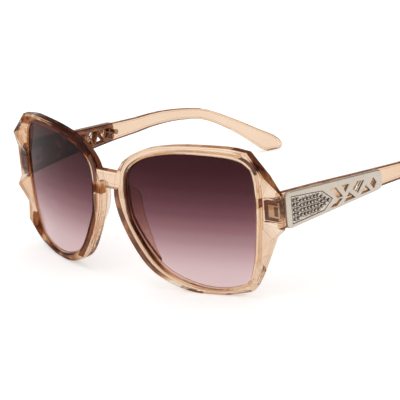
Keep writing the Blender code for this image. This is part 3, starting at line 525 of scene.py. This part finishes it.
def champagne_silver():
    """Plated plaque: satin along its length, brighter where hands have polished it; its walls and its back
    are darker with painted shade.
    """
    finish, tree = new_finish("champagne_silver")
    place = object_place(tree)
    brushed = noise(place, 700.0, 3.0, (1.0, 0.06, 1.0))
    worn = noise(place, 45.0)
    tint = mixed(mapped(worn, 0.35, 0.65, 0.0, 1.0), SILVER, [c * 0.9 for c in SILVER])
    x, y, z = split(place)
    # painted shade on the walls of the windows and round the stones, and on the back
    wall = mapped(facing(tree, X), 0.30, 0.60, 1.0, 0.0)
    round_stones = within(y, *STONE_FIELD_LENGTHS) * within(z, *STONE_FIELD_HEIGHTS)
    tint = mixed(wall, tint, mixed(round_stones, SHADED_WALL_SILVER, DEEP_SHADE))
    back = split(surface_normal(tree))[X] * x < TOWARDS_HEAD
    tint = mixed(back, tint, SHADED_BACK_SILVER)
    edges = node(tree, "ShaderNodeBevel", {"samples": 6}, {"Radius": PLAQUE_ROUNDING})
    bump = node(tree, "ShaderNodeBump", {}, {"Height": brushed, "Strength": 0.12,
                                             "Distance": BRUSHING_HEIGHT, "Normal": edges})
    set_surface(principled(tree, {"Base Color": tint, "Metallic": 1.0 - back.at_least(wall) * 0.7,
                                  "Roughness": spread(brushed, 0.2, 0.32) + (worn - 0.5) * 0.08,
                                  "Normal": bump}))
    return finish


def hinge_steel():
    """Satin plated steel; on the leaf in the front the brown shade of its pocket is painted along three edges
    and in the slot where the knuckle passes.
    """
    finish, tree = new_finish("hinge_steel")
    place = object_place(tree)
    grain = noise(place, 1400.0, 2.0, (1.0, 1.0, 0.2))
    x, y, z = split(place)
    off_middle = abs(z - HINGE_HEIGHT)
    # painted shade of the pocket along three edges of the leaf, and in its knuckle slot
    edge = (abs(x) < LEAF_INNER + LEAF_SIDE_SHADE).at_least(off_middle > LEAF_HALF - LEAF_END_SHADE)
    slot = (abs(x) > LEAF_INNER + LEAF_SLOT_IN) * (off_middle < LEAF_SLOT_HALF)
    sunk = (y < LEAF_BACK) * (facing(tree, Y) > 0.7)
    tint = mixed(grain, STEEL, [c * 0.92 for c in STEEL])
    tint = mixed(edge.at_least(slot) * sunk, tint, LEAF_SHADE)
    bump = node(tree, "ShaderNodeBump", {}, {"Height": grain, "Strength": 0.1,
                                             "Distance": STEEL_GRAIN_HEIGHT})
    set_surface(principled(tree, {"Base Color": tint, "Metallic": 0.7 - sunk * 0.65,
                                  "Roughness": spread(grain, 0.3, 0.42), "Normal": bump}))
    return finish


# Crystal finishes

STONE_LIGHT = (0.92, 0.82, 0.72)
STONE_DUSK = (0.40, 0.30, 0.23)
BED_DARK = (0.05, 0.03, 0.02)
BED_LIGHT = (0.12, 0.08, 0.055)


def crystal():
    """Foil-backed stones: bright tables, sloping facets darkened with painted shade, each stone a little
    different.
    """
    finish, tree = new_finish("crystal")
    patch = noise(object_place(tree), 800.0, 0.0)
    # painted shade on the facets that slope away from the outward direction
    facet_shade = mapped(facing(tree, X), 0.90, 0.975, 1.0, 0.0) * mapped(patch, 0.42, 0.6, 1.0, 0.75)
    cut = mixed(mapped(patch, 0.47, 0.60, 0.0, 0.5), STONE_LIGHT, STONE_DUSK)
    set_surface(principled(tree, {"Base Color": mixed(facet_shade, cut, DEEP_SHADE), "Metallic": 0.85,
                                  "Roughness": spread(patch, 0.03, 0.09),
                                  "Coat Weight": 1.0 - facet_shade * 0.85, "Coat Roughness": 0.02}))
    return finish


def foil_bed():
    """Dark plated bed that the stones are set in."""
    finish, tree = new_finish("foil_bed")
    grain = noise(object_place(tree), 900.0)
    set_surface(principled(tree, {"Base Color": mixed(grain, BED_DARK, BED_LIGHT), "Metallic": 0.9,
                                  "Roughness": spread(grain, 0.3, 0.45)}))
    return finish


# Meshes

SMOOTH_BELOW = math.radians(30.0)


def place_piece(name, mesh, finishes, body, replaced):
    piece = bpy.data.objects.new(name, mesh)
    bpy.context.scene.collection.objects.link(piece)
    for finish in finishes:
        mesh.materials.append(finish)
    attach(piece, body)
    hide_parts(replaced)


def mesh_from(name, bm):
    """The bmesh as a plain mesh; the bmesh is used up."""
    mesh = bpy.data.meshes.new(name)
    bm.to_mesh(mesh)
    bm.free()
    return mesh


def merged_copy(node_name):
    """The node's mesh with its loose triangles joined, as a bmesh."""
    bm = bmesh.new()
    bm.from_mesh(NODES[node_name].data)
    bmesh.ops.remove_doubles(bm, verts=bm.verts, dist=WELD)
    bm.verts.index_update()
    return bm


def mirrored(bm):
    """A copy on the other side of the nose, its faces turned to point outwards again."""
    copy = bm.copy()
    bmesh.ops.scale(copy, vec=(-1.0, 1.0, 1.0), verts=copy.verts)
    bmesh.ops.reverse_faces(copy, faces=copy.faces)
    return copy


# Lenses

LENS_MARGIN = 0.66 * MM         # width of the clear margin that sits in the groove
LENS_FACING = 0.7               # a face whose normal's Y is beyond this is the front or the back


def tinted_lenses(finishes):
    """Lenses tinted on the front, with the edge that sits in the groove left clear."""
    bm = merged_copy("lens_left")
    for f in bm.faces:
        f.material_index = 0 if f.normal.y < -LENS_FACING else 2 if f.normal.y > LENS_FACING else 1
    tinted_faces = [f for f in bm.faces if f.material_index == 0]
    margin = bmesh.ops.inset_region(bm, faces=tinted_faces, thickness=LENS_MARGIN, use_boundary=True,
                                    use_even_offset=True)
    for f in margin["faces"]:
        f.material_index = 1
    for side, copy in (("right", mirrored(bm)), ("left", bm)):
        bmesh.ops.recalc_face_normals(copy, faces=copy.faces)
        mesh = mesh_from(f"tinted_lens_{side}", copy)
        mesh.shade_smooth()
        mesh.set_sharp_from_angle(angle=SMOOTH_BELOW)
        place_piece(f"tinted_lens_{side}", mesh, finishes, "front", f"lens_{side}")


# Crystals

STONE_RADIUS = 0.76 * MM
STONE_HEIGHT = 0.5 * MM
STONE_SIDES = 8
FOOT = (0.94, -0.1)             # rings of a stone, as shares of its radius and height
GIRDLE = (1.0, 0.35)
CROWN = (0.78, 0.75)
TABLE = (0.52, 1.0)
STONE_TILT = 0.16
STONE_SEED = 4
TABLE_FACING = 0.99
TABLE_TOLERANCE = 0.02 * MM
SORTING_STEPS = 1               # decimals of a millimetre that tell one row of stones from the next
GRAIN_RADIUS = 0.20 * MM
GRAIN_TILT = 0.5
GRAIN_SEED = 9
GRAIN_CLEARANCE = 0.6           # least distance between grains, as a share of the stones' pitch
GRAIN_REACH = 0.8               # a grain has two stones nearer than this
LEAN = 0.05                     # slope of the panel, outwards over back


def stone_seats():
    """The middles of the left panel's stones on the bed, and the direction that they face."""
    bm = merged_copy("crystal_panel_left")
    outward = Vector((1.0, -LEAN, 0.0)).normalized()
    top = max(v.co.dot(outward) for v in bm.verts)
    tables = {f for f in bm.faces if f.normal.dot(outward) > TABLE_FACING
              and abs(f.calc_center_median().dot(outward) - top) < TABLE_TOLERANCE}
    seats = []
    while tables:
        group, front = set(), [tables.pop()]
        while front:
            face = front.pop()
            group.add(face)
            near = {f for v in face.verts for f in v.link_faces} & tables
            tables -= near
            front += near
        corners = sorted({v for f in group for v in f.verts}, key=lambda v: v.index)
        seats.append(sum((v.co for v in corners), Vector()) / len(corners))
    bm.free()
    bed = top - STONE_HEIGHT
    seats.sort(key=lambda s: (round(s.y / MM, SORTING_STEPS), round(s.z / MM, SORTING_STEPS)))
    return [s + outward * (bed - s.dot(outward)) for s in seats], outward


def grain_seats(seats):
    """The gaps between neighbouring stones, each on the bed."""
    pitch = min((a - b).length for a in seats for b in seats if a is not b)
    grains = []
    for seat in seats:
        for up in (-0.5, 0.5):
            place = seat + Vector((LEAN * pitch / 2, pitch / 2, up * pitch))
            apart = all((place - grain).length > GRAIN_CLEARANCE * pitch for grain in grains)
            if apart and sum((place - other).length < GRAIN_REACH * pitch for other in seats) >= 2:
                grains.append(place)
    return grains


def stone_mesh(name):
    """Brilliant crown over a short girdle, with a flat table."""
    bm = bmesh.new()
    around = 2 * STONE_SIDES

    def ring(count, shares, turn):
        radius, height = shares[0] * STONE_RADIUS, shares[1] * STONE_HEIGHT
        angles = [math.tau * (i + turn) / count for i in range(count)]
        return [bm.verts.new((radius * math.cos(a), radius * math.sin(a), height)) for a in angles]

    foot, girdle = ring(around, FOOT, 0.0), ring(around, GIRDLE, 0.0)
    crown, table = ring(STONE_SIDES, CROWN, 0.5), ring(STONE_SIDES, TABLE, 0.0)
    bm.faces.new(table)
    bm.faces.new(foot[::-1])
    for k in range(around):
        after = (k + 1) % around
        bm.faces.new((foot[k], foot[after], girdle[after], girdle[k]))
    for k in range(STONE_SIDES):
        right, left = crown[k], crown[k - 1]
        bm.faces.new((table[k], right, table[(k + 1) % STONE_SIDES]))
        bm.faces.new((table[k], left, girdle[2 * k], right))
        bm.faces.new((right, girdle[2 * k], girdle[2 * k + 1]))
        bm.faces.new((right, girdle[2 * k + 1], girdle[(2 * k + 2) % around]))
    bmesh.ops.recalc_face_normals(bm, faces=bm.faces)
    return bpy.data.objects.new(name, mesh_from(name, bm))


def grain_mesh(name):
    bm = bmesh.new()
    bmesh.ops.create_icosphere(bm, subdivisions=1, radius=GRAIN_RADIUS)
    return bpy.data.objects.new(name, mesh_from(name, bm))


def setting_tree(name):
    """Sets one small piece on every point, turned to face outwards and tipped a little at random."""
    tree = bpy.data.node_groups.new(name, "GeometryNodeTree")
    ends = tree.interface
    ends.new_socket("Geometry", in_out="INPUT", socket_type="NodeSocketGeometry")
    for label, kind in (("Piece", "Object"), ("Facing", "Vector"), ("Tip", "Float"), ("Seed", "Int"),
                        ("Finish", "Material")):
        ends.new_socket(label, in_out="INPUT", socket_type=f"NodeSocket{kind}")
    ends.new_socket("Geometry", in_out="OUTPUT", socket_type="NodeSocketGeometry")
    entry = tree.nodes.new("NodeGroupInput")

    def given(label):
        return Value(tree, entry.outputs[label])

    def drawn(seed_step, low, high):
        return node(tree, "FunctionNodeRandomValue", {"data_type": "FLOAT"},
                    {2: low, 3: high, 8: given("Seed") + seed_step}, output=1)

    tip, other = (drawn(step, given("Tip") * -1.0, given("Tip")) for step in (0.0, 7.0))
    turn = node(tree, "ShaderNodeCombineXYZ", {}, {0: tip, 1: other, 2: drawn(13.0, 0.0, math.tau)})
    piece = node(tree, "GeometryNodeObjectInfo", {}, {"Object": given("Piece")}, output="Geometry")
    outwards = node(tree, "FunctionNodeAlignRotationToVector", {"axis": "Z"}, {"Vector": given("Facing")})
    placed = node(tree, "GeometryNodeInstanceOnPoints", {},
                  {"Points": given("Geometry"), "Instance": piece, "Rotation": outwards})
    turned = node(tree, "GeometryNodeRotateInstances", {}, {"Instances": placed, "Rotation": turn})
    real = node(tree, "GeometryNodeRealizeInstances", {}, {0: turned})
    done = node(tree, "GeometryNodeSetMaterial", {}, {"Geometry": real, "Material": given("Finish")})
    out = tree.nodes.new("NodeGroupOutput")
    tree.links.new(done.socket, out.inputs[0])
    return tree


def set_on_points(name, tree, points, values):
    """The tree run on a cloud of points, as a plain mesh."""
    mesh = bpy.data.meshes.new(name)
    mesh.from_pydata([tuple(p) for p in points], [], [])
    holder = bpy.data.objects.new(name, mesh)
    bpy.context.scene.collection.objects.link(holder)
    modifier = holder.modifiers.new(name, "NODES")
    modifier.node_group = tree
    sockets = {item.name: item.identifier for item in tree.interface.items_tree if item.in_out == "INPUT"}
    for label, value in values.items():
        modifier[sockets[label]] = value
    holder.update_tag()
    graph = bpy.context.evaluated_depsgraph_get()
    graph.update()
    result = bpy.data.meshes.new_from_object(holder.evaluated_get(graph), depsgraph=graph)
    bpy.data.objects.remove(holder)
    return result


def bare_bed(outward, height):
    """The left panel with its stones pressed flat to the bed."""
    bed = merged_copy("crystal_panel_left")
    for v in bed.verts:
        over = v.co.dot(outward) - height
        if over > 0:
            v.co -= outward * over
    bmesh.ops.dissolve_limit(bed, angle_limit=0.01, verts=bed.verts, edges=bed.edges)
    bmesh.ops.remove_doubles(bed, verts=bed.verts, dist=WELD)
    for f in bed.faces:
        f.material_index = 0
    return bed


def crystal_panels(stone_finish, bed_finish):
    """Cut stones and small grains on the bed of each panel."""
    seats, outward = stone_seats()
    tree = setting_tree("stone_setting")
    stone, grain = stone_mesh("stone_cut"), grain_mesh("grain_cut")
    stones = set_on_points("stones", tree, seats,
                           {"Piece": stone, "Facing": outward, "Tip": STONE_TILT, "Seed": STONE_SEED,
                            "Finish": stone_finish})
    grains = set_on_points("grains", tree, [g + outward * GRAIN_RADIUS * 0.5 for g in grain_seats(seats)],
                           {"Piece": grain, "Facing": outward, "Tip": GRAIN_TILT, "Seed": GRAIN_SEED,
                            "Finish": bed_finish})
    bed = bare_bed(outward, seats[0].dot(outward))
    for mesh, index in ((stones, 1), (grains, 0)):
        start = len(bed.faces)
        bed.from_mesh(mesh)
        bed.faces.ensure_lookup_table()
        for f in bed.faces[start:]:
            f.material_index = index
    for side, bm in (("right", mirrored(bed)), ("left", bed)):
        name = f"crystal_pave_{side}"
        place_piece(name, mesh_from(name, bm), (bed_finish, stone_finish), f"temple_{side}",
                    f"crystal_panel_{side}")
    for piece in (stone, grain):
        bpy.data.objects.remove(piece)
    for mesh in (stones, grains):
        bpy.data.meshes.remove(mesh)


# Studio

FLOOR_HALF = 4.0
FLOOR_CLOTH = (0.80, 0.79, 0.78)
FLOOR_GLOW = (1.0, 0.995, 0.99)
FLOOR_GLOW_STRENGTH = 0.40
ROOM_STOPS = ((0.0, (0.9, 0.9, 0.9)), (0.10, (0.9, 0.9, 0.9)), (0.24, (0.16, 0.14, 0.12)),
              (0.55, (0.22, 0.20, 0.18)), (0.8, (0.9, 0.9, 0.9)))
THROUGH_STOPS = ((0.0, (0.98, 0.97, 0.96)), (0.12, (0.96, 0.93, 0.90)), (0.22, (0.19, 0.07, 0.032)),
                 (0.6, (0.14, 0.05, 0.025)), (0.9, (0.6, 0.5, 0.42)))
SOFT_LIGHT = (0.62, 0.62, 0.62, 1.0)
WHITE = (1.0, 1.0, 1.0, 1.0)
LAMPS = (                       # name, place, what it is aimed at, width, height, radiance
    ("overhead", (-0.1, -0.1, 1.0), (0.0, 0.0, 0.0), 0.9, 0.7, 1.5),
    ("front_left", (-0.7, -0.8, 0.55), (0.0, -0.03, 0.03), 0.5, 0.6, 1.6),
    ("side_right", (0.9, 0.1, 0.45), (0.0, 0.0, 0.03), 0.35, 0.5, 1.6),
)


def floor():
    """Pale floor that keeps the shadows and runs to white for the camera."""
    bm = bmesh.new()
    bmesh.ops.create_grid(bm, x_segments=2, y_segments=2, size=FLOOR_HALF)
    finish, tree = new_finish("pale_floor")
    cloth = node(tree, "ShaderNodeBsdfDiffuse", {}, {"Color": (*FLOOR_CLOTH, 1.0)})
    glow = node(tree, "ShaderNodeEmission", {},
                {"Color": (*FLOOR_GLOW, 1.0), "Strength": FLOOR_GLOW_STRENGTH})
    dark = node(tree, "ShaderNodeEmission", {}, {"Strength": 0.0})
    extra = chosen(ray(tree, "Camera") + ray(tree, "Transmission"), dark, glow)
    set_surface(node(tree, "ShaderNodeAddShader", {}, {0: cloth, 1: extra}))
    mesh = mesh_from("floor", bm)
    mesh.materials.append(finish)
    made = bpy.data.objects.new("floor", mesh)
    bpy.context.scene.collection.objects.link(made)


def surroundings():
    """White behind the object for the camera, a soft studio with darker sides for everything else."""
    world = bpy.data.worlds.new("studio")
    bpy.context.scene.world = world
    world.use_nodes = True
    tree = world.node_tree
    tree.nodes.clear()
    upward = split(node(tree, "ShaderNodeTexCoord", output="Generated"))[Z]
    room, through = (background(tree, ramp(upward, stops)) for stops in (ROOM_STOPS, THROUGH_STOPS))
    seen = chosen(ray(tree, "Glossy"), background(tree, SOFT_LIGHT), room)
    seen = chosen(ray(tree, "Transmission"), seen, through)
    seen = chosen(ray(tree, "Camera"), seen, background(tree, WHITE))
    out = tree.nodes.new("ShaderNodeOutputWorld")
    tree.links.new(seen.socket, out.inputs["Surface"])


def softbox(name, place, target, width, height, radiance):
    light = bpy.data.lights.new(name, "AREA")
    light.shape = "RECTANGLE"
    light.size = width
    light.size_y = height
    light.energy = radiance * math.pi * width * height
    made = bpy.data.objects.new(name, light)
    made.location = place
    made.rotation_euler = (Vector(target) - Vector(place)).to_track_quat("-Z", "Y").to_euler()
    bpy.context.scene.collection.objects.link(made)


# Camera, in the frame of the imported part

CAMERA_PLACE = (0.46574, -0.49971, 0.23297)
CAMERA_AZIMUTH = 44.9075        # degrees, as the next two
CAMERA_ELEVATION = 18.0662
CAMERA_ROLL = -5.4488
CAMERA_FOCAL_SHARE = 4.46431    # focal length as a share of the frame's width
SENSOR_WIDTH = 36.0             # millimetres
NEAREST_SEEN = 0.01


def camera():
    data = bpy.data.cameras.new("photo_view")
    data.sensor_width = SENSOR_WIDTH
    data.lens = CAMERA_FOCAL_SHARE * SENSOR_WIDTH
    data.clip_start = NEAREST_SEEN
    azimuth, elevation, roll = (math.radians(v) for v in (CAMERA_AZIMUTH, CAMERA_ELEVATION, CAMERA_ROLL))
    back = Vector((math.sin(azimuth) * math.cos(elevation), -math.cos(azimuth) * math.cos(elevation),
                   math.sin(elevation)))
    level = Vector((math.cos(azimuth), math.sin(azimuth), 0.0))
    over = back.cross(level)
    right = level * math.cos(roll) + over * math.sin(roll)
    up = over * math.cos(roll) - level * math.sin(roll)
    made = bpy.data.objects.new("photo_view", data)
    made.matrix_world = Matrix.Translation(CAMERA_PLACE) @ Matrix((right, up, back)).transposed().to_4x4()
    bpy.context.scene.collection.objects.link(made)
    bpy.context.scene.camera = made


# The whole scene

LIGHT_BOUNCES = 32              # enough to get through rim, lens and rim again

plastic = champagne_plastic("champagne_front", front_shade, calm_of=groove_under_brow)
arm_plastic = champagne_plastic("champagne_arm", arm_shade, ARM_BODY_DEPTH)
tinted, silver, steel = gradient_lens(), champagne_silver(), hinge_steel()
stones, bed = crystal(), foil_bed()
FINISHES = {"front_frame": plastic, "temple_arm": arm_plastic, "lens": tinted, "temple_plaque": silver,
            "plaque_pin_front": silver, "plaque_pin_rear": silver, "hinge_front_leaf": steel,
            "hinge_temple_leaf": steel, "hinge_screw": steel, "crystal_panel": bed}
for name, part in NODES.items():
    stem = name.removesuffix("_left").removesuffix("_right")
    part.data.materials.clear()
    part.data.materials.append(FINISHES[stem])
tinted_lenses((tinted, clear_lens("lens_margin", *LENS_EDGE_COLOURS),
               clear_lens("lens_back", *LENS_BACK_COLOURS)))
crystal_panels(stones, bed)
floor()
surroundings()
for lamp in LAMPS:
    softbox(*lamp)
camera()
bpy.context.scene.view_settings.view_transform = "Standard"
bpy.context.scene.cycles.max_bounces = LIGHT_BOUNCES
bpy.context.scene.cycles.transmission_bounces = LIGHT_BOUNCES
